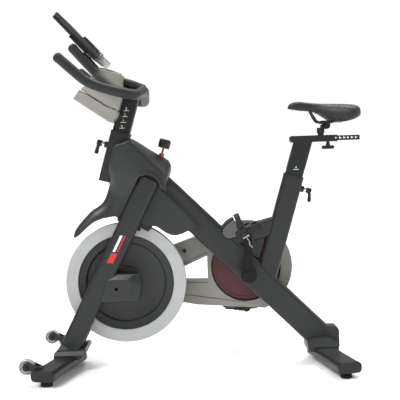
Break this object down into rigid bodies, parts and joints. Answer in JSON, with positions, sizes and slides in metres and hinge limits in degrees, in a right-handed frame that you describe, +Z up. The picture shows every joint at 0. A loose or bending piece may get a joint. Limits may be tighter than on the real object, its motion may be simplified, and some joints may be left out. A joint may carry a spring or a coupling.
{
  "type": "indoor spin bike",
  "caption": "Belt-driven indoor cycle with a heavy flywheel, crossed frame, sliding saddle, multi-grip handlebar and tablet rest on two V-shaped floor bars.",
  "frame": {"origin": "on the floor, at the middle of the bike's length and width", "axes": "+Z up, +X towards the rear of the bike, +Y towards the belt side"},
  "size_m": [1.2467, 0.5268, 1.3027],
  "materials": {
    "frame_paint": "satin powder coat, dark grey",
    "post_paint": "satin powder coat, dark grey",
    "shroud_plastic": "fine-grain moulded, dark grey",
    "guard_plastic": "fine-grain moulded, warm grey",
    "black_plastic": "moulded, black",
    "grip": "dipped soft grip, dark grey",
    "wheel_alloy": "turned",
    "disc_paint": "satin, dark grey",
    "pulley_red": "satin, dull red",
    "steel": "plain steel",
    "chrome": "polished",
    "crank_alloy": "black anodised forging",
    "belt_rubber": "ribbed belt",
    "red_plastic": "moulded, red",
    "strap": "webbing strap",
    "saddle_cover": "synthetic leather, dark grey",
    "console_plastic": "fine-grain moulded, grey",
    "ledge_plastic": "fine-grain moulded, silver",
    "wheel_plastic": "polyurethane, light grey",
    "foot_rubber": "moulded, black"
  },
  "bodies": {
    "frame": {"main_tube": "frame_paint", "seat_tube": "frame_paint", "cross_tube": "frame_paint", "head_tube": "frame_paint", "front_leg_left": "frame_paint", "front_leg_right": "frame_paint", "front_stabiliser": "frame_paint", "rear_stabiliser": "frame_paint", "end_caps": "black_plastic", "junction_covers": "shroud_plastic", "post_sleeves": "black_plastic", "shroud_left": "shroud_plastic", "shroud_right": "shroud_plastic", "axle_cover": "shroud_plastic", "belt_guard_outer": "guard_plastic", "belt_guard_inner": "guard_plastic", "drive_belt": "belt_rubber", "axle_bearings": "steel", "frame_bolts": "steel", "brake_bushing": "red_plastic"},
    "flywheel": {"flywheel_rim": "wheel_alloy", "flywheel_disc": "disc_paint", "flywheel_axle": "steel"},
    "crankset": {"crank_axle": "steel", "crank_left": "crank_alloy", "crank_right": "crank_alloy", "drive_pulley": "pulley_red", "pedal_spindles": "steel"},
    "pedal_left": {"pedal_body_left": "black_plastic", "toe_cage_left": "black_plastic", "toe_strap_left": "strap"},
    "pedal_right": {"pedal_body_right": "black_plastic", "toe_cage_right": "black_plastic", "toe_strap_right": "strap"},
    "brake_plunger": {"brake_shaft": "steel"},
    "brake_dial": {"brake_knob": "black_plastic"},
    "brake_yoke": {"brake_yoke": "black_plastic"},
    "bar_post": {"handlebar_post": "post_paint", "handlebar": "grip", "tray_lower": "guard_plastic", "tray_upper": "guard_plastic", "tablet_plate": "console_plastic", "tablet_ledge": "ledge_plastic", "tablet_clip": "console_plastic"},
    "bar_lever": {"bar_lever": "black_plastic"},
    "seat_post": {"seat_post": "post_paint", "seat_beam": "post_paint"},
    "seat_lever": {"seat_lever": "black_plastic"},
    "slider_knob": {"slider_knob": "black_plastic"},
    "seat_slider": {"seat_slider": "post_paint"},
    "saddle": {"seat_rail_clamp": "steel", "seat_clamp_bolt": "chrome", "saddle_rails": "steel", "saddle": "saddle_cover"},
    "wheel_left": {"transport_wheel_left": "wheel_plastic"},
    "wheel_right": {"transport_wheel_right": "wheel_plastic"},
    "foot_front_left": {"foot_front_left": "foot_rubber"},
    "foot_front_right": {"foot_front_right": "foot_rubber"},
    "foot_rear_left": {"foot_rear_left": "foot_rubber"},
    "foot_rear_right": {"foot_rear_right": "foot_rubber"}
  },
  "joints": [
    {"name": "flywheel_spin", "type": "hinge", "parent": "frame", "child": "flywheel", "pos_m": [-0.26, 0, 0.317], "axis": [0, 1, 0], "continuous": true},
    {"name": "crank_spin", "type": "hinge", "parent": "frame", "child": "crankset", "pos_m": [0.192, 0, 0.35], "axis": [0, 1, 0], "continuous": true},
    {"name": "pedal_left_spin", "type": "hinge", "parent": "crankset", "child": "pedal_left", "pos_m": [0.192, -0.182, 0.52], "axis": [0, 1, 0], "continuous": true},
    {"name": "pedal_right_spin", "type": "hinge", "parent": "crankset", "child": "pedal_right", "pos_m": [0.192, 0.182, 0.18], "axis": [0, 1, 0], "continuous": true},
    {"name": "handlebar_height", "type": "slide", "parent": "frame", "child": "bar_post", "axis": [0.2857, 0, 0.9583], "range_m": [-0.025, 0.075]},
    {"name": "handlebar_lever_turn", "type": "hinge", "parent": "frame", "child": "bar_lever", "pos_m": [-0.27371, 0, 0.81929], "axis": [-0.9583, 0, 0.2857], "range_deg": [-360, 360]},
    {"name": "seat_height", "type": "slide", "parent": "frame", "child": "seat_post", "axis": [0.2857, 0, 0.9583], "range_m": [-0.1, 0.1]},
    {"name": "seat_lever_turn", "type": "hinge", "parent": "frame", "child": "seat_lever", "pos_m": [0.36314, 0, 0.65658], "axis": [0.9583, 0, -0.2857], "range_deg": [-360, 360]},
    {"name": "seat_slider_knob_turn", "type": "hinge", "parent": "seat_post", "child": "slider_knob", "pos_m": [0.504, 0, 0.805], "axis": [0, 0, 1], "range_deg": [-360, 360]},
    {"name": "seat_fore_aft", "type": "slide", "parent": "seat_post", "child": "seat_slider", "axis": [1, 0, 0], "range_m": [-0.035, 0.035]},
    {"name": "saddle_tilt", "type": "hinge", "parent": "seat_slider", "child": "saddle", "pos_m": [0.498, 0, 0.875], "axis": [0, 1, 0], "range_deg": [-10, 10]},
    {"name": "brake_press", "type": "slide", "parent": "frame", "child": "brake_plunger", "axis": [-0.2857, 0, -0.9583], "range_m": [0, 0.006], "stiffness_N_per_m": 2000, "springref_m": -0.003},
    {"name": "resistance_turn", "type": "hinge", "parent": "brake_plunger", "child": "brake_dial", "pos_m": [-0.114, 0, 0.779], "axis": [0.2857, 0, 0.9583], "range_deg": [-720, 720]},
    {"name": "magnet_yoke_swing", "type": "hinge", "parent": "frame", "child": "brake_yoke", "pos_m": [-0.272, 0, 0.558], "axis": [0, 1, 0], "range_deg": [-2, 2]},
    {"name": "wheel_left_spin", "type": "hinge", "parent": "frame", "child": "wheel_left", "pos_m": [-0.595, -0.208, 0.065], "axis": [0, 1, 0], "continuous": true},
    {"name": "wheel_right_spin", "type": "hinge", "parent": "frame", "child": "wheel_right", "pos_m": [-0.595, 0.208, 0.065], "axis": [0, 1, 0], "continuous": true},
    {"name": "foot_front_left_level", "type": "slide", "parent": "frame", "child": "foot_front_left", "axis": [0, 0, -1], "range_m": [0, 0.01]},
    {"name": "foot_front_right_level", "type": "slide", "parent": "frame", "child": "foot_front_right", "axis": [0, 0, -1], "range_m": [0, 0.01]},
    {"name": "foot_rear_left_level", "type": "slide", "parent": "frame", "child": "foot_rear_left", "axis": [0, 0, -1], "range_m": [0, 0.01]},
    {"name": "foot_rear_right_level", "type": "slide", "parent": "frame", "child": "foot_rear_right", "axis": [0, 0, -1], "range_m": [0, 0.01]}
  ],
  "couplings": [
    {"joint": "crank_spin", "follows": "flywheel_spin", "ratio": 0.29231},
    {"joint": "magnet_yoke_swing", "follows": "resistance_turn", "ratio": 0.0027778}
  ]
}
